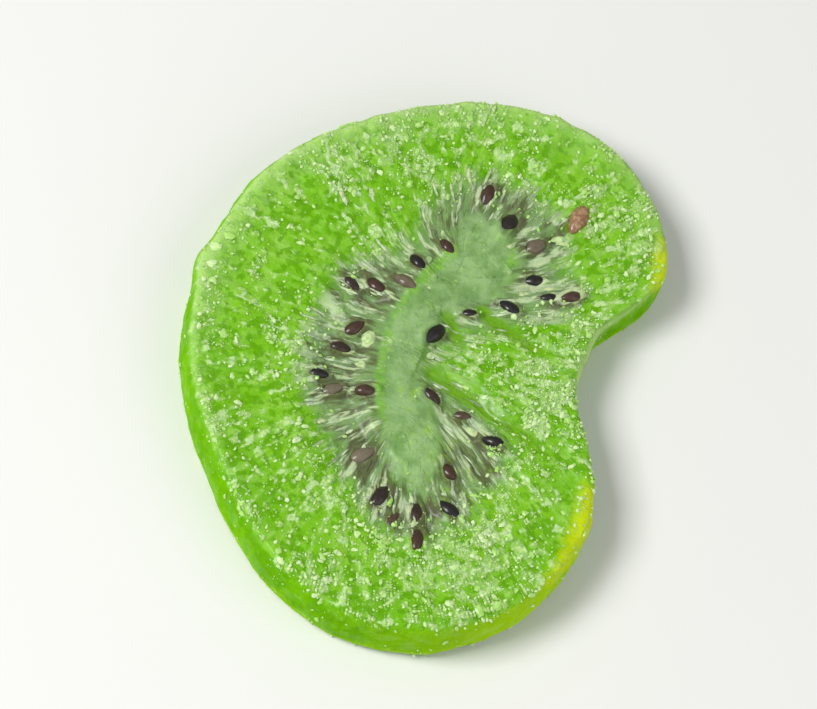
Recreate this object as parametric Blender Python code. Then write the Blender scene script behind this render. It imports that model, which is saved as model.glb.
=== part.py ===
# A dried kiwi slice: one chewy round cut across the fruit. Its flesh shrank as it dried, so one flank
# is drawn in as a notch, and the pale core is bent round that notch with the seeds about it.
# Metres, +Z up. The slice lies on its underside, with the origin under its middle; +X is towards
# the notch and +Y is along the slice. Lengths below are in millimetres and angles in degrees.
import bpy
import bmesh
from math import acos, atan2, cos, degrees, exp, hypot, pi, radians, sin
from mathutils import Euler, Matrix, Vector, noise
from random import Random

MM = 0.001

# outline, measured from a point left of the core
THICKNESS = 5.0
MEAN_RADIUS = 20.7
OUTLINE_MIDDLE = (-2.0, -1.5)
RIM_WAVES = ((1, 4.1, 23), (2, 2.4, 93), (3, 1.7, 63), (4, 0.4, 55), (5, 0.25, 350))  # count, height, a crest
NOTCH_TOWARDS = 28.5
NOTCH_DEPTH = 5.2
NOTCH_LONG_FLANK = 34.0
NOTCH_STEEP_FLANK = 8.5
NUB_TOWARDS = 176.0
NUB_HEIGHT = 0.7
NUB_WIDTH = 6.0

# the wall of the rim bulges out between two rounded edges
RIM_BULGE = 1.1
RIM_SQUARENESS = 3.2

# the core is a bar bent round the notch, thicker near both of its ends
CORE_BEND_MIDDLE = (10.0, 1.0)
CORE_BEND_RADIUS = 11.3
CORE_STARTS = 129.0
CORE_ENDS = 236.0
CORE_HALF_WIDTH = 2.05
CORE_KNOBS = ((0.0, 0.85, 0.2), (0.8, 0.6, 0.14))  # place along the core, extra half width, spread

# the flesh's fibres fan out from the line between two points, as the curves that cross ellipses about them
FAN_TOP = (1.0, 9.0)
FAN_FOOT = (1.0, -7.5)

# relief of the cut faces; the underside dried on a flat tray, so only its hollows show
RIM_BEAD = 0.22
CORE_RISE = 0.25
SEED_RING_DEPTH = 0.6
SEED_RING_FALLS = (-0.4, 1.0)  # gaps from the core between which the ring sinks
SEED_RING_RISES = (2.4, 6.5)
WRINKLE_HEIGHT = 0.1
WRINKLE_COUNT = 20
WRINKLE_WANDER = 6.0
LUMP_HEIGHT = 0.14
LUMP_SIZE = 3.4
WARP_HEIGHT = 0.5
WARP_TOWARDS = 150.0
TRAY_FLATNESS = 0.2
SEAT_HEIGHT = 0.1  # what is lower than this is pressed flat on the surface the slice lies on
CREASE_DEPTH = 0.45
CREASE_WIDTH = 0.75
CREASES = (((2.3, -1.5), (16.0, -5.0)), ((4.1, 5.3), (11.5, 3.0)), ((1.6, 3.6), (4.2, 1.3)))  # start, end

# seeds lie round the core and point away from it
SEED_LENGTH = 2.2
SEED_WIDTH = 1.2
SEED_THICKNESS = 1.0
SEED_TAPER = 0.7
SEED_TILT = 0.2  # the most they tilt, in radians
SEED_PROUD = 0.05  # how far a seed's middle stands above the cut face
TOP_SEEDS = (  # share of the way round the core, gap from its edge, degrees off the fan, size
    (0.06, -0.8, 10, 0.8), (0.11, -0.2, -10, 0.85), (0.15, -0.5, 0, 0.95), (0.165, 1.3, -10, 1.0),
    (0.17, 3.1, -10, 0.85), (0.23, 1.4, 45, 1.0), (0.255, 2.0, 0, 0.9), (0.28, 3.5, -10, 0.8),
    (0.305, 2.4, 10, 0.9), (0.34, -0.3, 0, 0.85), (0.395, 1.8, -30, 1.05), (0.435, 2.8, -20, 1.1),
    (0.45, 4.2, -30, 0.75), (0.47, 5.6, -10, 0.95), (0.475, 3.1, -10, 0.85), (0.51, 3.2, 35, 1.05),
    (0.53, 0.5, 10, 0.9), (0.61, 3.9, 25, 0.9), (0.63, 2.4, 30, 0.75), (0.64, 0.2, -15, 0.85),
    (0.74, 0.4, 65, 1.1), (0.785, 1.2, 15, 0.65), (0.82, 4.4, 0, 0.85), (0.83, 1.5, -35, 0.95),
    (0.835, 2.9, -10, 0.75), (0.885, 1.0, -15, 0.9), (0.925, 0.9, -10, 1.1), (0.965, 0.6, 0, 1.1),
    (0.98, 2.7, 0, 1.0),
)
UNDERSIDE_SIZES = (0.85, 1.1)
UNDERSIDE_TURN = 8.5  # spread of their directions off the fan
LOOSE_SEED = (8.3, 15.9)
LOOSE_SEED_SIZE = 1.3
LOOSE_SEED_TURN = 83.0
UNDERSIDE_SEEDS = 22
UNDERSIDE_GAPS = (1.0, 2.8)

# mesh
AROUND = 96
RINGS = 40
TOP_SHARE = 0.52
WALL_SHARE = 0.17
SEED_SIDES = 7
SEED_RINGS = 5


def clear_scene():
    for item in list(bpy.data.objects):
        bpy.data.objects.remove(item)


def make_material(name, colour, roughness):
    material = bpy.data.materials.new(name)
    material.use_nodes = True
    surface = material.node_tree.nodes["Principled BSDF"]
    surface.inputs["Base Color"].default_value = (*colour, 1)
    surface.inputs["Roughness"].default_value = roughness
    surface.inputs["Metallic"].default_value = 0
    return material


def hump(distance, width):
    return exp(-(distance / width) ** 2)


def smooth_step(value, low, high):
    share = min(max((value - low) / (high - low), 0), 1)
    return share * share * (3 - 2 * share)


def turn_between(angle, other):
    return (angle - other + 180) % 360 - 180


def crease_depth(x, y, start, end):
    """A crease fades out towards its end."""
    run = Vector(end) - Vector(start)
    offset = Vector((x, y)) - Vector(start)
    along = min(max(offset.dot(run) / run.length_squared, 0), 1)
    return CREASE_DEPTH * (1 - along ** 3) * hump((offset - along * run).length, CREASE_WIDTH)


def rim_radius(angle):
    radius = MEAN_RADIUS
    for count, height, crest in RIM_WAVES:
        radius += height * cos(count * radians(angle - crest))
    off_notch = turn_between(angle, NOTCH_TOWARDS)
    flank = NOTCH_LONG_FLANK if off_notch < 0 else NOTCH_STEEP_FLANK
    return radius - NOTCH_DEPTH * exp(-abs(off_notch / flank) ** 3)


def rim_gap(x, y):
    off_x = x - OUTLINE_MIDDLE[0]
    off_y = y - OUTLINE_MIDDLE[1]
    return rim_radius(degrees(atan2(off_y, off_x))) - hypot(off_x, off_y)


def core_half_width(along):
    return CORE_HALF_WIDTH + sum(extra * hump(along - place, spread) for place, extra, spread in CORE_KNOBS)


def core_point(along):
    """The middle of the core at a share of its length."""
    bend = radians(CORE_STARTS + (CORE_ENDS - CORE_STARTS) * along)
    return Vector(CORE_BEND_MIDDLE) + CORE_BEND_RADIUS * Vector((cos(bend), sin(bend)))


def core_gap(x, y):
    """Distance from the core's edge, negative inside it."""
    off_x = x - CORE_BEND_MIDDLE[0]
    off_y = y - CORE_BEND_MIDDLE[1]
    bend = degrees(atan2(off_y, off_x)) % 360
    along = min(max((bend - CORE_STARTS) / (CORE_ENDS - CORE_STARTS), 0), 1)
    return (Vector((x, y)) - core_point(along)).length - core_half_width(along)


def ring_place(share, gap):
    """Point at a share of the way round the core, from its upper end down the left side and back."""
    sweep = radians(CORE_ENDS - CORE_STARTS)
    outer_side = sweep * (CORE_BEND_RADIUS + CORE_HALF_WIDTH + gap)
    inner_side = sweep * (CORE_BEND_RADIUS - CORE_HALF_WIDTH - gap)
    cap = pi * (CORE_HALF_WIDTH + gap)
    travelled = share * (outer_side + inner_side + 2 * cap)
    if travelled < outer_side:
        along, turned = travelled / outer_side, 0.0
    elif travelled < outer_side + cap:
        along, turned = 1.0, (travelled - outer_side) / cap * pi
    elif travelled < outer_side + cap + inner_side:
        along, turned = 1 - (travelled - outer_side - cap) / inner_side, pi
    else:
        along, turned = 0.0, pi + (travelled - outer_side - cap - inner_side) / cap * pi
    outward = radians(CORE_STARTS) + sweep * along + turned
    reach = core_half_width(along) + gap
    return core_point(along) + reach * Vector((cos(outward), sin(outward)))


def fan_direction(x, y):
    from_top = (Vector((x, y)) - Vector(FAN_TOP)).normalized()
    from_foot = (Vector((x, y)) - Vector(FAN_FOOT)).normalized()
    both = from_top + from_foot
    return atan2(both.y, both.x)


def fan_angle(x, y):
    """An angle that stays the same along a fibre."""
    to_top = hypot(x - FAN_TOP[0], y - FAN_TOP[1])
    to_foot = hypot(x - FAN_FOOT[0], y - FAN_FOOT[1])
    span = hypot(FAN_TOP[0] - FAN_FOOT[0], FAN_TOP[1] - FAN_FOOT[1])
    angle = acos(min(max((to_foot - to_top) / span, -1), 1))
    return angle if x > FAN_TOP[0] else -angle


def hollows(x, y):
    gap = core_gap(x, y)
    ring = SEED_RING_DEPTH * smooth_step(gap, *SEED_RING_FALLS) * (1 - smooth_step(gap, *SEED_RING_RISES))
    return hypot(ring, *(crease_depth(x, y, start, end) for start, end in CREASES))


def lumps(x, y, side):
    return LUMP_HEIGHT * noise.noise(Vector((x / LUMP_SIZE, y / LUMP_SIZE, 9.0 * side)))


def warp(x, y):
    towards = atan2(y, x) - radians(WARP_TOWARDS)
    return WARP_HEIGHT * (hypot(x, y) / MEAN_RADIUS) ** 3 * (0.5 + 0.5 * cos(2 * towards))


def top_height(x, y):
    gap = core_gap(x, y)
    height = THICKNESS + warp(x, y) + lumps(x, y, 1) - hollows(x, y)
    height += RIM_BEAD * hump(rim_gap(x, y) - RIM_BULGE, RIM_BULGE)
    height += CORE_RISE * (1 - smooth_step(gap, -CORE_HALF_WIDTH, 0.5))
    wander = WRINKLE_WANDER * lumps(x, y, 2) / LUMP_HEIGHT
    wrinkle = sin(WRINKLE_COUNT * fan_angle(x, y) + wander)
    return height + WRINKLE_HEIGHT * smooth_step(gap, 0.5, 5) * wrinkle


def underside_height(x, y):
    return max(warp(x, y) + lumps(x, y, 3) + hollows(x, y) - TRAY_FLATNESS, 0)


def folded_point(direction):
    """Where a point of the unit sphere goes: its caps become the cut faces, a belt between them the wall."""
    share = direction.angle(Vector((0, 0, 1))) / pi
    bearing = atan2(direction.y, direction.x)
    low_share = TOP_SHARE + WALL_SHARE
    lean = (min(max(share, TOP_SHARE), low_share) - TOP_SHARE) / WALL_SHARE * pi
    nub = NUB_HEIGHT * hump(turn_between(degrees(bearing), NUB_TOWARDS), NUB_WIDTH) * (1 + cos(lean)) / 2
    full = rim_radius(degrees(bearing)) + nub - RIM_BULGE
    bulge = RIM_BULGE * sin(lean) ** (2 / RIM_SQUARENESS) if 0 < lean < pi else 0
    rise = abs(cos(lean)) ** (2 / RIM_SQUARENESS) * (1 if lean < pi / 2 else -1)
    if share < TOP_SHARE:
        reach = full * share / TOP_SHARE
    else:
        reach = full * min((1 - share) / (1 - low_share), 1) + bulge
    edge_x = OUTLINE_MIDDLE[0] + min(reach, full) * cos(bearing)
    edge_y = OUTLINE_MIDDLE[1] + min(reach, full) * sin(bearing)
    top = top_height(edge_x, edge_y)
    low = underside_height(edge_x, edge_y)
    height = (top + low) / 2 + (top - low) / 2 * rise
    if height < SEAT_HEIGHT:
        height = 0
    x = OUTLINE_MIDDLE[0] + reach * cos(bearing)
    y = OUTLINE_MIDDLE[1] + reach * sin(bearing)
    return Vector((x, y, height))


def add_object(name, shape, material, collection):
    mesh = bpy.data.meshes.new(name)
    shape.to_mesh(mesh)
    shape.free()
    mesh.materials.append(material)
    mesh.shade_smooth()
    item = bpy.data.objects.new(name, mesh)
    collection.objects.link(item)
    return item


def add_slice(material, collection):
    shape = bmesh.new()
    bmesh.ops.create_uvsphere(shape, u_segments=AROUND, v_segments=RINGS, radius=1)
    for vertex in shape.verts:
        vertex.co = folded_point(vertex.co) * MM
    return add_object("kiwi_slice", shape, material, collection)


def add_seed(place, facing, size, tilt, material, collection):
    shape = bmesh.new()
    bmesh.ops.create_uvsphere(shape, u_segments=SEED_SIDES, v_segments=SEED_RINGS, radius=0.5)
    for vertex in shape.verts:
        along = vertex.co.z * SEED_LENGTH
        taper = 1 - SEED_TAPER * max(-vertex.co.z, 0)
        grown = Vector((along, vertex.co.x * taper * SEED_WIDTH, vertex.co.y * taper * SEED_THICKNESS))
        vertex.co = grown * size * MM
    seed = add_object("seed", shape, material, collection)
    turn = Euler((0, tilt, facing)).to_matrix().to_4x4()
    seed.matrix_world = Matrix.Translation(Vector(place) * MM) @ turn


def lay_seeds(material, collection):
    draw = Random(5)
    for share, gap, turn, size in TOP_SEEDS:
        place = ring_place(share, gap)
        facing = fan_direction(place.x, place.y) + radians(turn)
        height = top_height(place.x, place.y) + SEED_PROUD
        tilt = draw.uniform(-SEED_TILT, SEED_TILT)
        add_seed((place.x, place.y, height), facing, size, tilt, material, collection)
    height = top_height(*LOOSE_SEED) + SEED_PROUD
    add_seed((*LOOSE_SEED, height), radians(LOOSE_SEED_TURN), LOOSE_SEED_SIZE, 0, material, collection)
    for step in range(UNDERSIDE_SEEDS):
        share = (step + draw.uniform(-0.2, 0.2)) / UNDERSIDE_SEEDS % 1
        gap = draw.uniform(-0.3, 0.3) + UNDERSIDE_GAPS[step % 2]
        place = ring_place(share, gap)
        facing = fan_direction(place.x, place.y) + radians(draw.gauss(0, UNDERSIDE_TURN))
        size = draw.uniform(*UNDERSIDE_SIZES)
        height = max(underside_height(place.x, place.y) - SEED_PROUD, SEED_THICKNESS / 2 * size)
        add_seed((place.x, place.y, height), facing, size, 0, material, collection)


def fuse(body, collection):
    union = body.modifiers.new("seeds", "BOOLEAN")
    union.operation = "UNION"
    union.operand_type = "COLLECTION"
    union.collection = collection
    union.solver = "EXACT"
    union.material_mode = "TRANSFER"
    bpy.context.view_layer.objects.active = body
    bpy.ops.object.modifier_apply(modifier=union.name)
    for item in list(collection.objects):
        bpy.data.objects.remove(item)
    bpy.data.collections.remove(collection)


def stand_on_origin(body):
    xs = [vertex.co.x for vertex in body.data.vertices]
    ys = [vertex.co.y for vertex in body.data.vertices]
    middle = Vector(((min(xs) + max(xs)) / 2, (min(ys) + max(ys)) / 2, 0))
    body.data.transform(Matrix.Translation(-middle))


def main():
    clear_scene()
    food = bpy.data.collections.new("dried_kiwi_slice")
    seeds = bpy.data.collections.new("seeds")
    bpy.context.scene.collection.children.link(food)
    bpy.context.scene.collection.children.link(seeds)
    flesh = make_material("dried kiwi flesh", (0.23, 0.5, 0.06), 0.45)
    husk = make_material("kiwi seed", (0.03, 0.018, 0.01), 0.3)
    body = add_slice(flesh, food)
    lay_seeds(husk, seeds)
    fuse(body, seeds)
    stand_on_origin(body)


main()
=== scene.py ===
import bpy
import bmesh
import math
import numpy as np
from mathutils import Euler, Matrix, Vector, noise
from mathutils.bvhtree import BVHTree
from random import Random


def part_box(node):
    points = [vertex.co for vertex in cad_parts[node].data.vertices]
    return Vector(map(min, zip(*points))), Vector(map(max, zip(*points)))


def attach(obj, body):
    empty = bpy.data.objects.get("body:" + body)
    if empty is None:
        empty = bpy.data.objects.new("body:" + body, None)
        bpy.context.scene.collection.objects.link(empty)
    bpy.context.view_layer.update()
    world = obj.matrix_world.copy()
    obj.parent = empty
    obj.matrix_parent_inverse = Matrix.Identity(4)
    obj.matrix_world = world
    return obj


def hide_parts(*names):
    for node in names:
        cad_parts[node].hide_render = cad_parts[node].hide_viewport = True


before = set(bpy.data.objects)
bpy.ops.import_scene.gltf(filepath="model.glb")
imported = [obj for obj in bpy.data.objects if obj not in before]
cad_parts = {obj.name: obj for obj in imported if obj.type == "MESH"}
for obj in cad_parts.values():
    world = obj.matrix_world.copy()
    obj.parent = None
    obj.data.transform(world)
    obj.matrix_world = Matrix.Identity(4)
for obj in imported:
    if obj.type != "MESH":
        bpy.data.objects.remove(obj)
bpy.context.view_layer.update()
mm = 0.001
clearance = 0.01  # mm that fibres, pulp and sugar keep from what the slice lies on
print("frame loaded")


# the slice's form, in millimetres and degrees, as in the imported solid

form = {
    "thickness": 5.0,
    "meanRadius": 20.7,
    "outlineMiddle": (-2.0, -1.5),
    "rimWaves": (  # count, height, towards a crest
        (1, 4.1, 23), (2, 2.4, 93), (3, 1.7, 63), (4, 0.4, 55), (5, 0.25, 350),
    ),
    "notchTowards": 28.5,
    "notchDepth": 5.2,
    "notchFlanks": (34.0, 8.5),
    "nub": (176.0, 0.7, 6.0),  # towards, height, width
    "rimBulge": 1.1,
    "rimSquareness": 3.2,
    "coreBendMiddle": (10.0, 1.0),
    "coreBendRadius": 11.3,
    "coreArc": (129.0, 236.0),
    "coreHalfWidth": 2.05,
    "coreKnobs": ((0.0, 0.85, 0.2), (0.8, 0.6, 0.14)),  # place along the core, extra half width, spread
    "fanTop": (1.0, 9.0),
    "fanFoot": (1.0, -7.5),
    "rimBead": 0.22,
    "coreRise": 0.25,
    "coreRiseEnds": 0.5,  # gap from the core
    "ringDepth": 0.6,
    "ringFalls": (-0.4, 1.0),
    "ringRises": (2.4, 6.5),
    "wrinkles": (0.1, 20, 6.0),  # height, count, wander
    "wrinklesStart": (0.5, 5.0),
    "lumps": (0.14, 3.4),  # height, size
    "warp": (0.5, 150.0),  # height, towards
    "trayFlatness": 0.2,
    "creaseDepth": 0.45,
    "creaseWidth": 0.75,
    "creases": (((2.3, -1.5), (16.0, -5.0)), ((4.1, 5.3), (11.5, 3.0)), ((1.6, 3.6), (4.2, 1.3))),
}
middleX, middleY = form["outlineMiddle"]
bendX, bendY = form["coreBendMiddle"]
coreStarts, coreEnds = form["coreArc"]


def hump(distance, width):
    return np.exp(-(distance / width) ** 2)


def smoothStep(value, low, high):
    share = np.clip((value - low) / (high - low), 0, 1)
    return share * share * (3 - 2 * share)


def turnBetween(angle, other):
    return (angle - other + 180) % 360 - 180


def noiseAt(x, y, z, size=1):  # one value a point, from about -1 to 1
    return np.array([noise.noise(point) for point in (np.stack((x, y, z), -1) / size).tolist()])


def spotsAt(x, y, spots):  # soft round spots, each with its x, y, reach and strength
    return sum(
        strength * hump(np.hypot(x - spotX, y - spotY), reach)
        for spotX, spotY, reach, strength in spots)


def offLine(x, y, start, end):  # the distance from a line, and the share of the way along it
    runX, runY = end[0] - start[0], end[1] - start[1]
    along = ((x - start[0]) * runX + (y - start[1]) * runY) / (runX ** 2 + runY ** 2)
    along = np.clip(along, 0, 1)
    return np.hypot(x - start[0] - along * runX, y - start[1] - along * runY), along


def rimRadius(angle):
    waves = sum(
        height * np.cos(count * np.radians(angle - crest))
        for count, height, crest in form["rimWaves"])
    offNotch = turnBetween(angle, form["notchTowards"])
    flank = np.where(offNotch < 0, *form["notchFlanks"])
    return form["meanRadius"] + waves - form["notchDepth"] * np.exp(-np.abs(offNotch / flank) ** 3)


def bearingOf(x, y):
    return np.degrees(np.arctan2(y - middleY, x - middleX))


def rimGap(x, y):
    return rimRadius(bearingOf(x, y)) - np.hypot(x - middleX, y - middleY)


def coreHalfWidth(along):
    knobs = sum(extra * hump(along - place, spread) for place, extra, spread in form["coreKnobs"])
    return form["coreHalfWidth"] + knobs


def corePoint(along):
    bend = np.radians(coreStarts + (coreEnds - coreStarts) * along)
    radius = form["coreBendRadius"]
    return bendX + radius * np.cos(bend), bendY + radius * np.sin(bend)


def coreGap(x, y):  # distance from the core's edge, negative inside it
    bend = np.degrees(np.arctan2(y - bendY, x - bendX)) % 360
    along = np.clip((bend - coreStarts) / (coreEnds - coreStarts), 0, 1)
    pointX, pointY = corePoint(along)
    return np.hypot(x - pointX, y - pointY) - coreHalfWidth(along)


def ringPlace(share, gap):  # a point at a share of the way round the core
    sweep = math.radians(coreEnds - coreStarts)
    radius, half = form["coreBendRadius"], form["coreHalfWidth"]
    outerSide = sweep * (radius + half + gap)
    innerSide = sweep * (radius - half - gap)
    cap = math.pi * (half + gap)
    travelled = share * (outerSide + innerSide + 2 * cap)
    if travelled < outerSide:
        along, turned = travelled / outerSide, 0.0
    elif travelled < outerSide + cap:
        along, turned = 1.0, (travelled - outerSide) / cap * math.pi
    elif travelled < outerSide + cap + innerSide:
        along, turned = 1 - (travelled - outerSide - cap) / innerSide, math.pi
    else:
        along, turned = 0.0, math.pi + (travelled - outerSide - cap - innerSide) / cap * math.pi
    outward = math.radians(coreStarts) + sweep * along + turned
    reach = coreHalfWidth(along) + gap
    pointX, pointY = corePoint(along)
    return float(pointX + reach * math.cos(outward)), float(pointY + reach * math.sin(outward))


def fanDirection(x, y):  # the way the flesh's fibres run
    reachX, reachY = 0, 0
    for focusX, focusY in (form["fanTop"], form["fanFoot"]):
        distance = math.hypot(x - focusX, y - focusY)
        reachX += (x - focusX) / distance
        reachY += (y - focusY) / distance
    return math.atan2(reachY, reachX)


def fanAngle(x, y):  # an angle that stays the same along a fibre
    (topX, topY), (footX, footY) = form["fanTop"], form["fanFoot"]
    toTop = np.hypot(x - topX, y - topY)
    toFoot = np.hypot(x - footX, y - footY)
    angle = np.arccos(np.clip((toFoot - toTop) / math.hypot(topX - footX, topY - footY), -1, 1))
    return np.where(x > topX, angle, -angle)


def creaseMarks(x, y):  # one for each crease, 1 in its middle, fading out towards its end
    for start, end in form["creases"]:
        distance, along = offLine(x, y, start, end)
        yield (1 - along ** 3) * hump(distance, form["creaseWidth"])


def hollows(x, y):
    gap = coreGap(x, y)
    sunk = smoothStep(gap, *form["ringFalls"])
    ring = form["ringDepth"] * sunk * (1 - smoothStep(gap, *form["ringRises"]))
    creases = sum((form["creaseDepth"] * mark) ** 2 for mark in creaseMarks(x, y))
    return np.sqrt(ring ** 2 + creases)


def lumps(x, y, layer):
    height, size = form["lumps"]
    return height * noiseAt(x / size, y / size, np.full_like(x, 9.0 * layer))


def warp(x, y):
    height, towards = form["warp"]
    angle = np.arctan2(y, x) - math.radians(towards)
    return height * (np.hypot(x, y) / form["meanRadius"]) ** 3 * (0.5 + 0.5 * np.cos(2 * angle))


def topHeight(x, y):
    gap = coreGap(x, y)
    height = form["thickness"] + warp(x, y) + lumps(x, y, 1) - hollows(x, y)
    height += form["rimBead"] * hump(rimGap(x, y) - form["rimBulge"], form["rimBulge"])
    height += form["coreRise"] * (1 - smoothStep(gap, -form["coreHalfWidth"], form["coreRiseEnds"]))
    tall, count, wander = form["wrinkles"]
    wrinkle = np.sin(count * fanAngle(x, y) + wander * lumps(x, y, 2) / form["lumps"][0])
    return height + tall * smoothStep(gap, *form["wrinklesStart"]) * wrinkle


def undersideHeight(x, y):
    return np.maximum(warp(x, y) + lumps(x, y, 3) + hollows(x, y) - form["trayFlatness"], 0)


def heightAt(surface, x, y):  # of one point
    return float(surface(np.array([x]), np.array([y]))[0])


# colours as they look in daylight, red, green and blue up to 255

palette = {
    "pit": (96, 162, 0),
    "deep": (110, 182, 16),
    "mid": (136, 196, 44),
    "pale": (166, 214, 100),
    "frost": (184, 228, 132),
    # a painted highlight, for the glints on the frost
    "paintedGlint": (216, 244, 180),
    "sugarDull": (168, 218, 108),
    "sugar": (210, 242, 170),
    "core": (118, 156, 90),
    "coreVein": (153, 187, 126),
    "coreEdge": (96, 146, 44),
    "halo": (130, 156, 110),
    "haloDark": (80, 66, 48),
    "cream": (210, 230, 180),
    "pulp": (204, 226, 158),
    "crease": (110, 168, 6),
    "wall": (110, 180, 0),
    "wallDeep": (96, 164, 0),
    # a painted glow of light through the flesh at the wall's foot
    "wallFootGlow": (142, 204, 6),
    # painted light on the wall's lit side
    "paintedLitLime": (164, 210, 8),
    "rim": (182, 220, 132),
    "lip": (204, 220, 14),
    "seedBlack": (18, 13, 9),
    "seedBrown": (64, 40, 26),
    "seedGrey": (114, 105, 85),
    "seedLoose": (172, 140, 104),
    "seedLooseDark": (138, 98, 68),
    "floor": (232, 232, 228),
}


def linearLight(share):
    return share / 12.92 if share <= 0.04045 else ((share + 0.055) / 1.055) ** 2.4


def paint(name):  # a colour of the palette, as a shader takes it
    return [linearLight(value / 255) for value in palette[name]] + [1]


class Wire:  # a socket that takes part in sums
    def __init__(self, finish, socket):
        self.finish = finish
        self.socket = socket

    def maths(self, operation, first, second):
        return self.finish.node("Math", {"operation": operation}, {0: first, 1: second})

    def __add__(self, other):
        return self.maths("ADD", self, other)

    def __sub__(self, other):
        return self.maths("SUBTRACT", self, other)

    def __rsub__(self, other):
        return self.maths("SUBTRACT", other, self)

    def __mul__(self, other):
        return self.maths("MULTIPLY", self, other)

    __radd__, __rmul__ = __add__, __mul__


class Finish:  # a material and its nodes
    def __init__(self, name):
        self.material = bpy.data.materials.new(name)
        self.material.use_nodes = True
        self.tree = self.material.node_tree
        self.tree.nodes.clear()
        metres = self.node("TexCoord", output="Object")
        self.place = self.node("VectorMath", {"operation": "SCALE"}, {0: metres, "Scale": 1 / mm})

    def node(self, kind, settings=None, sockets=None, output=0):
        added = self.tree.nodes.new("ShaderNode" + kind)
        for name, value in (settings or {}).items():
            setattr(added, name, value)
        for name, value in (sockets or {}).items():
            if isinstance(value, Wire):
                self.tree.links.new(value.socket, added.inputs[name])
            else:
                added.inputs[name].default_value = value
        return Wire(self, added.outputs[output])

    def mark(self, name, output="Fac"):  # a value laid on the mesh
        return self.node("Attribute", {"attribute_name": name}, output=output)

    def ramp(self, value, low, high):  # 0 up to low, 1 from high
        ends = {"Value": value, "From Min": low, "From Max": high}
        return self.node("MapRange", {"interpolation_type": "SMOOTHSTEP"}, ends)

    def cloud(self, vector, size, detail=2.0, roughness=0.5):
        sockets = {"Vector": vector, "Scale": 1 / size, "Detail": detail, "Roughness": roughness}
        return self.node("TexNoise", None, sockets)

    def mix(self, factor, first, second):  # of two colours
        return self.node("Mix", {"data_type": "RGBA"}, {0: factor, 6: first, 7: second}, 2)

    def surface(self, colour, rough, bumps, bumpDepth, fixed):  # fixed: what the shader has besides
        bumped = self.node("Bump", None, {"Height": bumps, "Distance": bumpDepth * mm})
        sockets = {"Base Color": colour, "Roughness": rough, "Normal": bumped, **fixed}
        shader = self.node("BsdfPrincipled", None, sockets)
        finished = self.tree.nodes.new("ShaderNodeOutputMaterial")
        self.tree.links.new(shader.socket, finished.inputs["Surface"])
        return self.material


def lightInside(share, colour, reach):  # the light that sinks in, and how far in mm
    return {"Subsurface Weight": share, "Subsurface Radius": colour, "Subsurface Scale": reach * mm}


# meshes

def valuesOf(items, name, each=1, kind=float):  # a row for each item that has several
    values = np.empty(len(items) * each, kind)
    items.foreach_get(name, values)
    return values if each == 1 else values.reshape(-1, each)


def takeApart(shape):  # a shape's points, and the corners of its faces
    shape.verts.index_update()
    points = np.array([vertex.co for vertex in shape.verts])
    corners = [[vertex.index for vertex in face.verts] for face in shape.faces]
    shape.free()
    return points, corners


def makeBall(subdivisions, radius):
    shape = bmesh.new()
    bmesh.ops.create_icosphere(shape, subdivisions=subdivisions, radius=radius)
    return takeApart(shape)


def copiedFaces(corners, copies, pointCount):  # of several copies of one shape of triangles
    firsts = np.arange(copies) * pointCount
    return (np.array(corners) + firsts[:, None, None]).reshape(-1, 3).tolist()


def liftClear(points):
    points[:, 2] = np.maximum(points[:, 2], clearance)
    return points


def layMarks(mesh, marks):
    for name, values in marks.items():
        vector = values.ndim == 2
        attribute = mesh.attributes.new(name, "FLOAT_VECTOR" if vector else "FLOAT", "POINT")
        attribute.data.foreach_set("vector" if vector else "value", values.astype(np.float32).ravel())


def joinedMesh(name, points, faces, tones):
    mesh = bpy.data.meshes.new(name)
    mesh.from_pydata((points * mm).tolist(), [], faces)
    mesh.update()
    layMarks(mesh, {"tone": np.array(tones)})
    return mesh


def addPiece(mesh, material, flat=False):
    mesh.materials.append(material)
    if flat:
        mesh.shade_flat()
    else:
        mesh.shade_smooth()
    piece = bpy.data.objects.new(mesh.name, mesh)
    bpy.context.scene.collection.objects.link(piece)
    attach(piece, "root")
    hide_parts("kiwi_slice")
    print(mesh.name, "made:", len(mesh.polygons), "faces")
    return piece


# seeds

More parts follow.
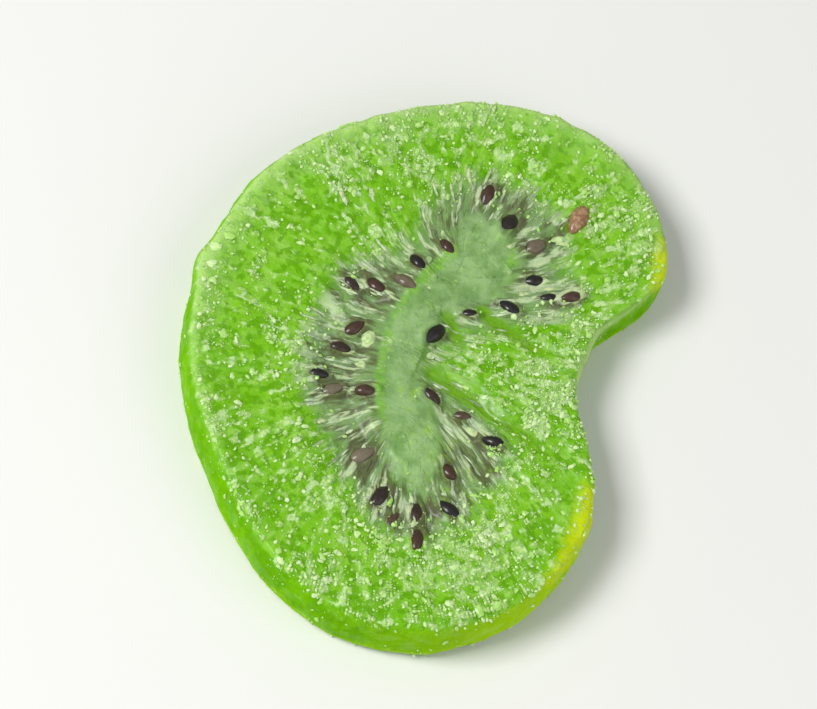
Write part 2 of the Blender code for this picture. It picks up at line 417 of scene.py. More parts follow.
seeds = {
    "length": 2.2,
    "width": 1.2,
    "thickness": 1.0,
    "taper": 0.7,
    "tilt": 0.2,
    "proud": 0.1,
    "sides": 20,
    "rings": 14,
    "top": (  # share of the way round the core, gap from its edge, degrees off the fan, size, tone
        (0.06, -0.8, 10, 0.8, 0.4), (0.11, -0.2, -10, 0.85, 0.05), (0.15, -0.5, 0, 0.95, 0.75),
        (0.165, 1.3, -10, 1.0, 0.45), (0.17, 3.1, -10, 0.85, 0.3), (0.23, 1.4, 45, 1.0, 0.5),
        (0.255, 2.0, 0, 0.9, 0.3), (0.28, 3.5, -10, 0.8, 0.0), (0.305, 2.4, 10, 0.9, 0.8),
        (0.34, -0.3, 0, 0.85, 0.55), (0.395, 1.8, -30, 1.05, 0.85), (0.435, 2.8, -20, 1.1, 0.25),
        (0.45, 4.2, -30, 0.75, 0.6), (0.47, 5.6, -10, 0.95, 0.45), (0.475, 3.1, -10, 0.85, 0.3),
        (0.51, 3.2, 35, 1.05, 0.0), (0.53, 0.5, 10, 0.9, 0.45), (0.61, 3.9, 25, 0.9, 0.0),
        (0.63, 2.4, 30, 0.75, 0.6), (0.64, 0.2, -15, 0.85, 0.3), (0.74, 0.4, 65, 1.1, 0.0),
        (0.785, 1.2, 15, 0.65, 0.0), (0.82, 4.4, 0, 0.85, 0.55), (0.83, 1.5, -35, 0.95, 0.0),
        (0.835, 2.9, -10, 0.75, 0.1), (0.885, 1.0, -15, 0.9, 0.0), (0.925, 0.9, -10, 1.1, 0.75),
        (0.965, 0.6, 0, 1.1, 0.2), (0.98, 2.7, 0, 1.0, 0.45),
    ),
    "loose": (8.3, 15.9),
    "looseSize": 1.3,
    "looseTurn": 83.0,
    "looseLift": 0.15,
    "looseTone": 2.0,
    "underside": 22,
    "undersideGaps": (1.0, 2.8),
    "undersideScatter": (0.2, 0.3),  # of the places along the ring and of the gaps
    "undersideSizes": (0.85, 1.1),
    "undersideTurn": 8.5,
    "undersideTones": (0.37, 0.8),  # step from seed to seed, and the range
    "mottle": (0.35, 3.0),  # size, detail
    "netSize": 0.13,
    "brownTones": (0.1, 0.5),  # where each colour of the coat starts and is full
    "greyTones": (0.5, 0.9),
    "looseTones": (1.2, 1.8),
    "looseMottle": (0.4, 0.62),
    "roughness": (0.35, 0.35),  # least, and more with the mottle
    "bumpDepth": 0.05,
    "draw": 5,
}


def topSeedPlaces(draw):
    for share, gap, turn, size, tone in seeds["top"]:
        x, y = ringPlace(share, gap)
        z = heightAt(topHeight, x, y) + seeds["proud"]
        facing = fanDirection(x, y) + math.radians(turn)
        tilt = draw.uniform(-seeds["tilt"], seeds["tilt"])
        yield dict(x=x, y=y, z=z, facing=facing, tilt=tilt, size=size, tone=tone, side=1)
    x, y = seeds["loose"]
    z = heightAt(topHeight, x, y) + seeds["proud"] + seeds["looseLift"]
    facing, size, tone = math.radians(seeds["looseTurn"]), seeds["looseSize"], seeds["looseTone"]
    yield dict(x=x, y=y, z=z, facing=facing, tilt=0, size=size, tone=tone, side=1)


def undersideSeedPlaces(draw):
    alongScatter, gapScatter = seeds["undersideScatter"]
    toneStep, toneRange = seeds["undersideTones"]
    for step in range(seeds["underside"]):
        share = (step + draw.uniform(-alongScatter, alongScatter)) / seeds["underside"] % 1
        gap = draw.uniform(-gapScatter, gapScatter) + seeds["undersideGaps"][step % 2]
        x, y = ringPlace(share, gap)
        facing = fanDirection(x, y) + math.radians(draw.gauss(0, seeds["undersideTurn"]))
        size = draw.uniform(*seeds["undersideSizes"])
        z = max(heightAt(undersideHeight, x, y) - seeds["proud"], seeds["thickness"] / 2 * size)
        tone = (step * toneStep) % toneRange
        yield dict(x=x, y=y, z=z, facing=facing, tilt=0, size=size, tone=tone, side=-1)


def makeSeeds(material):
    shape = bmesh.new()
    bmesh.ops.create_uvsphere(shape, u_segments=seeds["sides"], v_segments=seeds["rings"], radius=0.5)
    sphere, sphereFaces = takeApart(shape)
    taper = 1 - seeds["taper"] * np.maximum(-sphere[:, 2], 0)
    spans = (seeds["length"], seeds["width"], seeds["thickness"])
    seed = np.stack((sphere[:, 2], sphere[:, 0] * taper, sphere[:, 1] * taper), -1) * spans
    points, faces = [], []
    for place in places:
        turn = np.array(Euler((0, place["tilt"], place["facing"])).to_matrix())
        faces += [[index + len(points) * len(seed) for index in face] for face in sphereFaces]
        points.append(seed * place["size"] @ turn.T + (place["x"], place["y"], place["z"]))
    tones = np.repeat([place["tone"] for place in places], len(seed))
    addPiece(joinedMesh("seeds", np.concatenate(points) + shift, faces, tones), material)


def seedFinish():  # tones: 0 black, 0.5 brown, 1 grey, 2 the loose seed
    f = Finish("kiwi seed coat")
    tone = f.mark("tone")
    mottle = f.cloud(f.place, *seeds["mottle"])
    net = f.node("TexVoronoi", None, {"Vector": f.place, "Scale": 1 / seeds["netSize"]})
    brown = f.ramp(tone + (mottle - 0.5) * 0.5, *seeds["brownTones"])
    grey = f.ramp(tone + (mottle - 0.5) * 0.3, *seeds["greyTones"])
    loose = f.ramp(mottle, *seeds["looseMottle"])
    colour = f.mix(brown, paint("seedBlack"), paint("seedBrown"))
    colour = f.mix(grey, colour, paint("seedGrey"))
    loose = f.mix(loose, paint("seedLooseDark"), paint("seedLoose"))
    colour = f.mix(f.ramp(tone, *seeds["looseTones"]), colour, loose)
    least, more = seeds["roughness"]
    fixed = {"Specular IOR Level": 0.3, "Coat Weight": 0.5, "Coat Roughness": 0.15}
    return f.surface(colour, least + more * mottle, net * 0.7 + mottle, seeds["bumpDepth"], fixed)


seedDraw = Random(seeds["draw"])
places = [*topSeedPlaces(seedDraw), *undersideSeedPlaces(seedDraw)]
print("seed places found:", len(places))


# flesh

flesh = {
    "around": 480,
    "rings": 200,
    "topShare": 0.5,
    "wallShare": 0.17,
    "fibreCount": 20.0,  # noise cells in a radian of the fan
    "fibreLength": 1.7,
    "ribs": 0.08,  # heights of the fine relief, in mm
    "finerRibs": (0.5, 2.1),  # share of the height, times as many
    "ribsStart": (-0.3, 0.8),  # gaps from the core
    "crust": 0.1,
    "crustGrain": ((0.4, 0.5), (0.3, 1.1), (0.3, 3.2)),  # share, size
    "crustRange": (-0.1, 0.4),
    "crustStarts": (0.4, 3.5),  # gaps from the core
    "crustPatches": (  # x, y, reach, more
        (9.0, 2.5, 5.0, 0.25), (12.5, -3.0, 3.5, 0.1), (10.5, -15.0, 5.0, 0.25),
        (9.0, -19.5, 4.0, 0.1), (-5.5, 15.0, 4.0, 0.25), (0.0, 18.0, 4.0, 0.1),
        (11.0, 16.0, 4.0, 0.25), (-9.0, -10.0, 4.0, 0.1),
    ),
    "barePatches": (  # x, y, reach, less
        (-12.0, 5.5, 5.5, 0.6), (8.0, 20.5, 4.0, 0.3), (-10.5, -8.0, 5.0, 0.15), (12.5, 14.0, 4.0, 0.15),
    ),
    "creaseClear": 0.9,  # how free of crust and sugar the creases stay
    "sage": (  # x, y and half width along the pale core
        (1.6, 11.8, 1.8), (2.3, 10.0, 2.2), (2.6, 7.9, 2.4), (0.8, 5.2, 1.9), (-0.95, 1.0, 1.4),
        (-0.45, -2.0, 1.35), (1.1, -5.0, 1.8), (2.7, -7.2, 2.3), (3.5, -9.4, 1.7), (4.6, -11.3, 0.5),
    ),
    "wallStarts": (0.35, 1.0),  # how far the rim's turn over its edge has gone, in radians
    "upperWall": (0.8, 1.5),
    # where the painted glow at the wall's foot starts and is full, in radians of the rim's turn
    "paintedGlowFoot": (1.2, 2.6),
    "rimFrost": (0.4, 0.6, 130.0),  # middle, swing, towards
    "paintedLitSide": (-38.0, 34.0),  # painted light, lime on the side of the wall that the light falls on: towards, width
    "paintedNotchHighlight": (24.0, 16.0, 0.1, 0.4),  # a painted highlight along the notch's edge: towards, width, place inside the rim, breadth
    "paleHalos": (  # x, y, reach, paler
        (-4.9, -0.3, 2.6, 0.5), (-6.5, -4.0, 2.6, 0.3), (-2.9, 6.2, 2.6, 0.4), (8.0, 10.5, 3.0, 0.8),
        (0.4, -10.0, 2.6, -0.4), (5.2, -14.0, 3.4, -0.35), (9.0, -8.0, 2.6, -0.15),
    ),
    "grain": (0.03, 0.42),  # height, size
    "coreGrain": 0.35,  # share of the grain's height that the core and the wall have
    "wallRelief": (  # height, width and tallness of each
        (0.16, 2.8, 6.0), (0.07, 1.0, 3.2), (0.035, 0.4, 0.5),
    ),
    "collar": (0.4, 1.08, 0.42),  # the flesh round a seed: height, and place and width in seed sizes
    "collarUneven": (0.7, 0.9),  # share, size
    "paintedSeedShade": (1.2, 0.4),  # painted shade, a darker ring of flesh round each seed: place and width in seed sizes
    "haloReach": 2.3,
    "haloStrength": 0.75,
    "haloStarts": (-1.5, -0.6),  # gaps from the core
    "haloEnds": (3.5, 7.5),
    "hiddenHalos": (
        (-1.6, 10.9), (-0.4, 12.9), (2.0, 14.6), (4.4, 14.4), (6.3, 13.6), (-4.2, 4.2), (-6.9, -1.6),
        (-5.4, -4.0), (-3.6, -6.6), (-1.8, -8.6), (0.2, -10.8), (3.6, -14.1), (5.6, -15.0),
        (7.2, -15.8), (7.2, -6.6), (9.2, -7.7), (-2.7, 1.2), (-2.1, -2.6), (-0.9, -5.6),
    ),
    "lips": (  # x, y, reach, strength
        (16.7, 15.2, 2.4, 1.0), (17.5, -8.6, 1.7, 0.75), (17.4, -10.6, 1.4, 0.45),
        (17.3, -6.8, 1.4, 0.45), (16.9, -5.2, 1.3, 0.2), (17.4, -12.6, 1.3, 0.5), (17.1, -14.6, 1.2, 0.4),
    ),
    "patterns": {  # where it lies, its size in mm or in cells of the fan, detail, roughness
        "broad": ("place", 5.0), "fine": ("place", 0.28, 3.0, 0.65), "specks": ("place", 0.95, 2.0, 0.6),
        "pits": ("place", 0.7), "coreOutline": ("place", 1.0), "coreEdges": ("place", 2.2),
        "veins": ("place", 1.6, 4.0, 0.6), "ragged": ("place", 0.9, 3.0, 0.6), "wet": ("place", 1.4),
        "skin": ("place", 2.6, 3.0), "wallGrain": ("place", 0.5, 3.0), "shades": ("fan", 1.2, 3.0),
        "strands": ("fan", 0.42, 2.0, 0.6), "strokes": ("fan", 1.5, 3.0, 0.6),
        "streaks": ("fan", 1.0, 3.0, 0.6), "flecks": ("fan", 1.0, 2.0, 0.6),
        "creping": ("upright", 1.0, 3.0, 0.6),
    },
    "upright": (1.0, 1.0, 0.3),  # the creping's place is drawn out in height
    "starts": {  # where each starts to show, and where it is full
        "broad": (0.3, 0.65), "streaks": (0.42, 0.68), "pits": (0.41, 0.52), "paintedGlints": (0.54, 0.6),
        "crust": (0.3, 0.9), "crustFine": (0.4, 0.6), "nearCore": (0.0, 3.0), "halo": (0.1, 0.95),
        "shade": (0.65, 1.2), "cream": (0.53, 0.64), "creamHalo": (0.1, 0.7), "creamCore": (0.0, 0.7),
        "core": (-0.6, 0.3), "coreEdge": (-0.4, 0.2), "coreEdgeEnds": (0.3, 1.2), "coreEdges": (0.36, 0.55),
        "veins": (0.34, 0.66), "coreFrost": (0.54, 0.75), "crease": (0.25, 0.85), "rimEdgeFrostAndHighlight": (0.3, 1.6),
        "rimBand": (0.8, 3.4), "rimFrost": (0.3, 1.0), "wall": (0.2, 0.8), "skin": (0.4, 0.6),
        "paintedGlowFoot": (0.5, 1.0), "skinPale": (0.02, 0.3), "paintedNotchHighlight": (0.2, 0.8), "lip": (0.1, 0.75),
        "lipEnds": (0.8, 2.5), "wet": (0.45, 0.65),
    },
    "covers": {  # the paint, and how fully it covers what is under it
        "streaks": ("pale", 0.6), "pits": ("pit", 0.8), "frost": ("frost", 0.8), "paintedGlints": ("paintedGlint", 0.8),
        "nearCore": ("coreVein", 0.25), "halo": ("halo", 0.85), "shade": ("haloDark", 0.72),
        "cream": ("cream", 0.75), "coreEdge": ("coreEdge", 0.25), "coreFrost": ("frost", 0.5),
        "crease": ("crease", 0.9), "rimBand": ("rim", 0.4), "rimEdgeFrostAndHighlight": ("rim", 0.85),
        "paintedGlowFoot": ("wallFootGlow", 1.0), "skinPale": ("pale", 0.25), "paintedLitLime": ("paintedLitLime", 0.8),
        "paintedNotchHighlight": ("rim", 0.8), "lip": ("lip", 0.85),
    },
    "coreCover": 0.95,
    "inside": (0.6, (0.8, 1.0, 0.12), 1.2),  # share, colour and reach of the light that sinks in
    "bumpDepth": 0.26,
}


def sageGap(x, y):  # distance from the edge of the core's pale part, negative inside it
    gap = np.full_like(x, form["meanRadius"])
    for start, end in zip(flesh["sage"], flesh["sage"][1:]):
        distance, along = offLine(x, y, start, end)
        gap = np.minimum(gap, distance - start[2] - along * (end[2] - start[2]))
    return gap


def seedRings(x, y, side, middle, width):  # 1 round the edge of each seed
    rings = np.zeros_like(x)
    for place in places:
        offX, offY = x - place["x"], y - place["y"]
        turnX, turnY = math.cos(place["facing"]), math.sin(place["facing"])
        along, across = offX * turnX + offY * turnY, offY * turnX - offX * turnY
        away = np.hypot(along / seeds["length"], across / seeds["width"]) * 2 / place["size"]
        rings = np.maximum(rings, np.where(side == place["side"], hump(away - middle, width), 0))
    return rings


def haloShare(x, y, side, gap):  # 1 where the flesh is dark with seeds, 0 away from them
    spots = [(seed["x"], seed["y"], seed["side"]) for seed in places if seed["tone"] < seeds["looseTone"]]
    spots += [(*spot, 1) for spot in flesh["hiddenHalos"]]
    clear = np.ones_like(x)
    for spotX, spotY, spotSide in spots:
        near = hump(np.hypot(x - spotX, y - spotY), flesh["haloReach"])
        clear *= 1 - flesh["haloStrength"] * np.where(side == spotSide, near, 0)
    return (1 - clear) * smoothStep(gap, *flesh["haloStarts"]) * (1 - smoothStep(gap, *flesh["haloEnds"]))


def fleshPoints(directions):  # and each point's lean, from 0 on the top face to pi on the underside
    share = np.arccos(np.clip(directions[:, 2], -1, 1)) / math.pi
    bearing = np.arctan2(directions[:, 1], directions[:, 0])
    topShare, wallShare = flesh["topShare"], flesh["wallShare"]
    lowShare = topShare + wallShare
    lean = (np.clip(share, topShare, lowShare) - topShare) / wallShare * math.pi
    squareness = form["rimSquareness"]
    side, rise = np.sin(lean), np.cos(lean)
    stretch = (np.abs(side) ** squareness + np.abs(rise) ** squareness) ** (-1 / squareness)
    side, rise = side * stretch, rise * stretch
    nubTowards, nubHeight, nubWidth = form["nub"]
    nub = nubHeight * hump(turnBetween(np.degrees(bearing), nubTowards), nubWidth) * (1 + np.cos(lean)) / 2
    full = rimRadius(np.degrees(bearing)) + nub - form["rimBulge"]
    topReach = full * share / topShare
    lowReach = full * np.minimum((1 - share) / (1 - lowShare), 1) + form["rimBulge"] * side
    reach = np.where(share < topShare, topReach, lowReach)
    edgeX = middleX + np.minimum(reach, full) * np.cos(bearing)
    edgeY = middleY + np.minimum(reach, full) * np.sin(bearing)
    top = topHeight(edgeX, edgeY)
    low = undersideHeight(edgeX, edgeY)
    x = middleX + reach * np.cos(bearing)
    y = middleY + reach * np.sin(bearing)
    z = (top + low) / 2 + (top - low) / 2 * rise
    return np.stack((x, y, z), -1), lean


def crustMark(points, gap, wall, crease):
    x, y, z = points.T
    crust = sum(share * noiseAt(x, y, z, size) for share, size in flesh["crustGrain"])
    crust += spotsAt(x, y, flesh["crustPatches"])
    crust = smoothStep(crust, *flesh["crustRange"]) * smoothStep(gap, *flesh["crustStarts"])
    crust *= 1 - wall
    crust *= 1 - flesh["creaseClear"] * crease
    return crust - spotsAt(x, y, flesh["barePatches"])


def fleshMarks(points, lean):
    x, y, z = points.T
    side = np.where(lean < math.pi / 2, 1, -1)
    gap = coreGap(x, y)
    rim = rimGap(x, y)
    angle = fanAngle(x, y)
    turns = flesh["fibreCount"]
    depth = gap / flesh["fibreLength"] - 40 * side  # the two faces lie far apart in the pattern
    wallStarts, wallEnds = flesh["wallStarts"]
    wall = smoothStep(lean, wallStarts, wallEnds)
    wall *= 1 - smoothStep(lean, math.pi - wallEnds, math.pi - wallStarts)
    upper = 1 - smoothStep(lean, *flesh["upperWall"])
    crease = np.clip(sum(creaseMarks(x, y)), 0, 1)
    bearing = bearingOf(x, y)
    frostMiddle, frostSwing, frostTowards = flesh["rimFrost"]
    frost = frostMiddle + frostSwing * np.cos(np.radians(bearing - frostTowards))
    limeTowards, limeWidth = flesh["paintedLitSide"]
    # where the painted highlight along the notch's edge lies
    notchTowards, notchWidth, notchPlace, notchBreadth = flesh["paintedNotchHighlight"]
    paintedNotchHighlight = upper * hump(turnBetween(bearing, notchTowards), notchWidth)
    paintedNotchHighlight *= hump(rim - notchPlace, notchBreadth)
    return {
        "coreGap": gap,
        "sageGap": sageGap(x, y),
        "rimGap": rim,
        "wall": wall,
        "paintedGlowFoot": smoothStep(lean, *flesh["paintedGlowFoot"]),
        "fan": np.stack((np.cos(angle) * turns, np.sin(angle) * turns, depth), -1),
        "halo": haloShare(x, y, side, gap),
        "paintedSeedShade": seedRings(x, y, side, *flesh["paintedSeedShade"]),
        "crease": crease,
        "crust": crustMark(points, gap, wall, crease),
        "rimFrost": np.clip(frost, 0, 1),
        "paintedLitSide": hump(turnBetween(bearing, limeTowards), limeWidth) ** 2,
        "paintedNotchHighlight": paintedNotchHighlight,
        "paleHalo": spotsAt(x, y, flesh["paleHalos"]),
        "lip": spotsAt(x, y, flesh["lips"]) * upper,
    }


def fleshRelief(points, lean, marks):  # how far each point is raised
    x, y, z = points.T
    side = np.where(lean < math.pi / 2, 1, -1)
    fan = marks["fan"].T
    faces = 1 - marks["wall"]
    body = smoothStep(marks["coreGap"], *flesh["ribsStart"])
    finerShare, finerTimes = flesh["finerRibs"]
    ribs = flesh["ribs"] * noiseAt(*fan) + finerShare * flesh["ribs"] * noiseAt(*(fan * finerTimes))
    collarHeight, *collarRing = flesh["collar"]
    collarUneven, collarLump = flesh["collarUneven"]
    collars = collarHeight * seedRings(x, y, side, *collarRing)
    collars *= 1 + collarUneven * noiseAt(x, y, z, collarLump)
    crust = flesh["crust"] * np.maximum(marks["crust"], 0)
    grainHeight, grainSize = flesh["grain"]
    grain = grainHeight * noiseAt(x, y, z, grainSize)
    grain *= flesh["coreGrain"] + (1 - flesh["coreGrain"]) * faces * body
    wobble = sum(
        height * noiseAt(x / width, y / width, z / tall)
        for height, width, tall in flesh["wallRelief"])
    return (ribs * body + collars + crust) * faces + grain + wobble * marks["wall"]


def makeFlesh(material):
    shape = bmesh.new()
    bmesh.ops.create_uvsphere(shape, u_segments=flesh["around"], v_segments=flesh["rings"], radius=1)
    mesh = bpy.data.meshes.new("flesh")
    shape.to_mesh(mesh)
    shape.free()
    points, lean = fleshPoints(valuesOf(mesh.vertices, "co", 3))
    marks = fleshMarks(points, lean)
    layMarks(mesh, marks)
    mesh.vertices.foreach_set("co", (points * mm).ravel())
    mesh.update()
    normals = valuesOf(mesh.vertex_normals, "vector", 3)
    points += normals * fleshRelief(points, lean, marks)[:, None]
    points[:, 2] = np.maximum(points[:, 2], 0)
    lowest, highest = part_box("kiwi_slice")
    slide = (Vector(lowest) + Vector(highest)) / 2 / mm
    middle = (points.min(0) + points.max(0)) / 2
    shift = np.array((slide.x - middle[0], slide.y - middle[1], 0))
    mesh.vertices.foreach_set("co", ((points + shift) * mm).ravel())
    mesh.update()
    return addPiece(mesh, material), shift


class FleshFinish(Finish):  # with what several of the flesh's colours are made of
    def __init__(self):
        super().__init__("frosted kiwi flesh")
        drawnOut = {0: self.place, 1: flesh["upright"]}
        upright = self.node("VectorMath", {"operation": "MULTIPLY"}, drawnOut)
        lies = {"place": self.place, "fan": self.mark("fan", "Vector"), "upright": upright}
        for name, (where, *size) in flesh["patterns"].items():
            setattr(self, name, self.cloud(lies[where], *size))
        self.ragged = self.ragged - 0.5
        self.wall = self.mark("wall")
        self.faces = 1 - self.wall
        self.rim = self.mark("rimGap")
        self.crease = self.mark("crease")
        self.paintedLitSide = self.mark("paintedLitSide")
        crust = self.mark("crust") + (self.specks - 0.5) * 3.0 + (self.flecks - 0.5) * 3.5
        self.crust = self.shown("crust", crust) * (0.6 + self.shown("crustFine", self.fine) * 0.4)
        self.sageGap = self.mark("sageGap") + (self.strokes - 0.5) * 1.6 + (self.coreOutline - 0.5) * 1.2
        self.core = 1 - self.shown("core", self.sageGap)

    def shown(self, name, value):  # 0 where it doesn't show, 1 where it is full
        return self.ramp(value, *flesh["starts"][name])

    def covered(self, colour, name, share):
        cover, most = flesh["covers"][name]
        return self.mix(share * most, colour, paint(cover))


def outerColour(f):  # bright green flesh with its pits and frost, and painted highlights as glints on the frost
    pits = f.shown("pits", f.pits + (f.strokes - 0.5) * 0.5)
    # painted highlight: small bright glints on the frosted flesh
    paintedGlints = f.shown("paintedGlints", f.specks * 0.5 + f.flecks * 0.5 + (f.fine - 0.5) * 0.25) * f.crust
    colour = f.mix(f.shown("broad", f.broad) * 0.5 + 0.15, paint("deep"), paint("mid"))
    colour = f.covered(colour, "streaks", f.shown("streaks", f.streaks))
    colour = f.covered(colour, "pits", 1 - pits)
    colour = f.covered(colour, "frost", f.crust)
    return f.covered(colour, "paintedGlints", paintedGlints)


def haloColour(f, colour):  # grey-green flesh with cream strands, round the seeds
    dark = f.mark("halo")
    paler = f.mark("paleHalo")
    # painted shade in a ring round each seed, added to the halo's dark
    ring = f.mark("paintedSeedShade") * 0.3
    halo = f.shown("halo", dark + (f.strokes - 0.5) * 1.3 + (f.strands - 0.5) * 0.3)
    shade = f.shown("shade", dark + ring - paler * 0.3 + (f.shades - 0.5) * 2.4)
    cream = f.shown("cream", f.strokes + paler * 0.1 + (f.strands - 0.5) * 0.2)
    cream = cream * f.shown("creamHalo", dark) * f.shown("creamCore", f.sageGap)
    colour = f.covered(colour, "nearCore", 1 - f.shown("nearCore", f.mark("coreGap")))
    colour = f.covered(colour, "halo", halo)
    colour = f.covered(colour, "shade", shade)
    return f.covered(colour, "cream", cream)


def coreColour(f, colour):  # the pale core with its greener edge
    edge = f.shown("coreEdge", f.sageGap) * (1 - f.shown("coreEdgeEnds", f.sageGap))
    colour = f.covered(colour, "coreEdge", edge * f.shown("coreEdges", f.coreEdges))
    sage = f.mix(f.shown("veins", f.veins), paint("core"), paint("coreVein"))
    sage = f.covered(sage, "coreFrost", f.shown("coreFrost", f.specks))
    return f.mix(f.core * flesh["coreCover"], colour, sage)


def rimColour(f, colour):  # the frosted edge of the cut faces, with a pale line on the very edge that is frost and painted highlight
    frosted = f.mark("rimFrost")
    band = 1 - f.shown("rimBand", f.rim + f.ragged * 4.0 + (f.flecks - 0.5) * 9.0)
    band = band * f.faces * f.shown("rimFrost", frosted)
    # the pale line on the very edge: frost and painted highlight
    edge = (1 - f.shown("rimEdgeFrostAndHighlight", f.rim + f.ragged * 2.4)) * f.faces
    colour = f.covered(colour, "rimBand", band)
    return f.covered(colour, "rimEdgeFrostAndHighlight", edge * frosted)


def skinColour(f):  # the wall, with painted light on one side and a painted glow at its foot
    skin = f.mix(f.shown("skin", f.skin * 0.5 + f.creping * 0.5), paint("wall"), paint("wallDeep"))
    # painted glow: the wall's lower part lighter, as light shining through the flesh
    skin = f.covered(skin, "paintedGlowFoot", f.shown("paintedGlowFoot", f.mark("paintedGlowFoot") + f.ragged * 0.8))
    skin = f.covered(skin, "skinPale", f.shown("skinPale", f.ragged + (f.fine - 0.5) * 0.6))
    # painted light: the wall's lit side turned lime
    return f.covered(skin, "paintedLitLime", f.paintedLitSide)


def fleshFinish():
    f = FleshFinish()
    colour = coreColour(f, haloColour(f, outerColour(f)))
    crease = f.shown("crease", f.crease + (f.strokes - 0.5) * 0.9) * f.faces
    colour = rimColour(f, f.covered(colour, "crease", crease))
    onWall = f.shown("wall", f.wall + f.paintedLitSide * 0.2 + f.ragged * 1.4)
    colour = f.mix(onWall, colour, skinColour(f))
    # painted highlight: a pale line along the notch's edge
    colour = f.covered(colour, "paintedNotchHighlight", f.shown("paintedNotchHighlight", f.mark("paintedNotchHighlight") + f.ragged * 0.5))
    lip = f.shown("lip", f.mark("lip") + f.ragged) * (1 - f.shown("lipEnds", f.rim + f.ragged))
    colour = f.covered(colour, "lip", lip)
    rough = 0.55 - 0.15 * f.crease + 0.15 * f.crust * f.faces + 0.2 * (f.fine - 0.5)
    fibrous = (f.strokes + f.strands * 0.2) * (1 - f.core)
    granular = f.crust * 0.5 + f.fine * (0.5 - 0.2 * f.core) + f.veins * f.core * 0.5
    bumps = (fibrous * 0.6 + granular) * f.faces + (f.wallGrain + f.ragged + f.creping) * 0.6 * f.wall
    fixed = {
        **lightInside(*flesh["inside"]),
        "Specular IOR Level": 0.0,
        "Coat Weight": 0.05 + f.shown("wet", f.wet) * 0.25 + (0.2 + 0.4 * f.crease) * f.faces,
        "Coat Roughness": 0.3,
    }
    return f.surface(colour, rough, bumps, flesh["bumpDepth"], fixed)


fleshPiece, shift = makeFlesh(fleshFinish())
makeSeeds(seedFinish())
fleshTree = BVHTree.FromObject(fleshPiece, bpy.context.evaluated_depsgraph_get())


def fleshHit(x, y, side):  # the point of the flesh above or below a place of the form, in mm
    start = Vector((x + shift[0], y + shift[1], 20 * side)) * mm
    hit = fleshTree.ray_cast(start, Vector((0, 0, -side)))[0]
    return None if hit is None else np.array(hit) / mm


# fibres

fibres = {
    "count": 260,
    "starts": (0.2, 4.2),  # gaps from the core
    "lengths": (0.7, 2.0),
    "widths": (0.08, 0.2),
    "bend": 0.5,
    "shaded": (0.2, 0.9),  # how dark the flesh has to be under a fibre
    "flatness": 0.45,
    "fullness": 0.7,  # the lower, the less the ends taper
    "bluntness": 0.3,
    "sink": 0.2,  # share of the width
    "sides": 6,
    "steps": 9,
    "patchSize": 0.7,
    "patchStarts": (0.4, 0.6),
    "darker": (0.3, 0.9, 0.7),  # tones from and to, share
    "inside": (0.4, (0.8, 1.0, 0.3), 0.5),
    "bumpSize": 0.15,
    "bumpDepth": 0.04,
    "draw": 11,
}


def fibreLine(x, y, length, side, bend):
    line, steps = [], fibres["steps"]
    for step in range(steps):
        hit = fleshHit(x, y, side)
        if hit is None:
            return []
        line.append(hit)
        facing = fanDirection(x, y) + bend * (step / steps - 0.5)
        x += length / steps * math.cos(facing)
        y += length / steps * math.sin(facing)
    return line


def addFibre(line, width, points, faces):
    sides, blunt = fibres["sides"], fibres["bluntness"]
    first = len(points)
    for index, middle in enumerate(line):
        before = line[max(index - 1, 0)]
        after = line[min(index + 1, len(line) - 1)]
        along = (after - before) / np.linalg.norm(after - before)
        across = np.cross(along, (0, 0, 1))
        up = np.cross(across, along)
        share = (index + blunt) / (len(line) - 1 + 2 * blunt)
        thick = width * math.sin(math.pi * share) ** fibres["fullness"]
        for corner in range(sides):
            turn = 2 * math.pi * corner / sides
            rise = fibres["flatness"] * math.sin(turn) - fibres["sink"]
            points.append(middle + thick * (math.cos(turn) * across + rise * up))
    for ring in range(len(line) - 1):
        low = first + ring * sides
        for corner in range(sides):
            following = (corner + 1) % sides
            faces.append([low + corner, low + sides + corner, low + sides + following, low + following])
    faces.append([first + corner for corner in range(sides)])
    faces.append([first + (len(line) - 1) * sides + corner for corner in reversed(range(sides))])


def makeFibres(material):
    draw = Random(fibres["draw"])
    points, faces, tones = [], [], []
    for index in range(fibres["count"]):
        side = -1 if index % 4 == 3 else 1  # a quarter lie on the underside
        x, y = ringPlace(draw.random(), draw.uniform(*fibres["starts"]))
        length = draw.uniform(*fibres["lengths"])
        line = fibreLine(x, y, length, side, draw.uniform(-fibres["bend"], fibres["bend"]))
        width = draw.uniform(*fibres["widths"])
        dark = haloShare(np.array([x]), np.array([y]), side, coreGap(x, y))[0]
        shaded = dark > draw.uniform(*fibres["shaded"])
        if line and shaded:
            addFibre(line, width, points, faces)
            tones += [draw.random()] * (len(points) - len(tones))
    addPiece(joinedMesh("fibres", liftClear(np.array(points)), faces, tones), material)


def fibreFinish():
    f = Finish("pale fibres")
    patches = f.cloud(f.place, fibres["patchSize"])
    start, end, share = fibres["darker"]
    colour = f.mix(f.ramp(patches, *fibres["patchStarts"]), paint("coreVein"), paint("cream"))
    colour = f.mix(f.ramp(f.mark("tone"), start, end) * share, colour, paint("halo"))
    bumps = f.cloud(f.place, fibres["bumpSize"])
    fixed = lightInside(*fibres["inside"])
    return f.surface(colour, 0.45 + 0.2 * patches, bumps, fibres["bumpDepth"], fixed)


makeFibres(fibreFinish())


# bits of pale pulp caught round the seeds

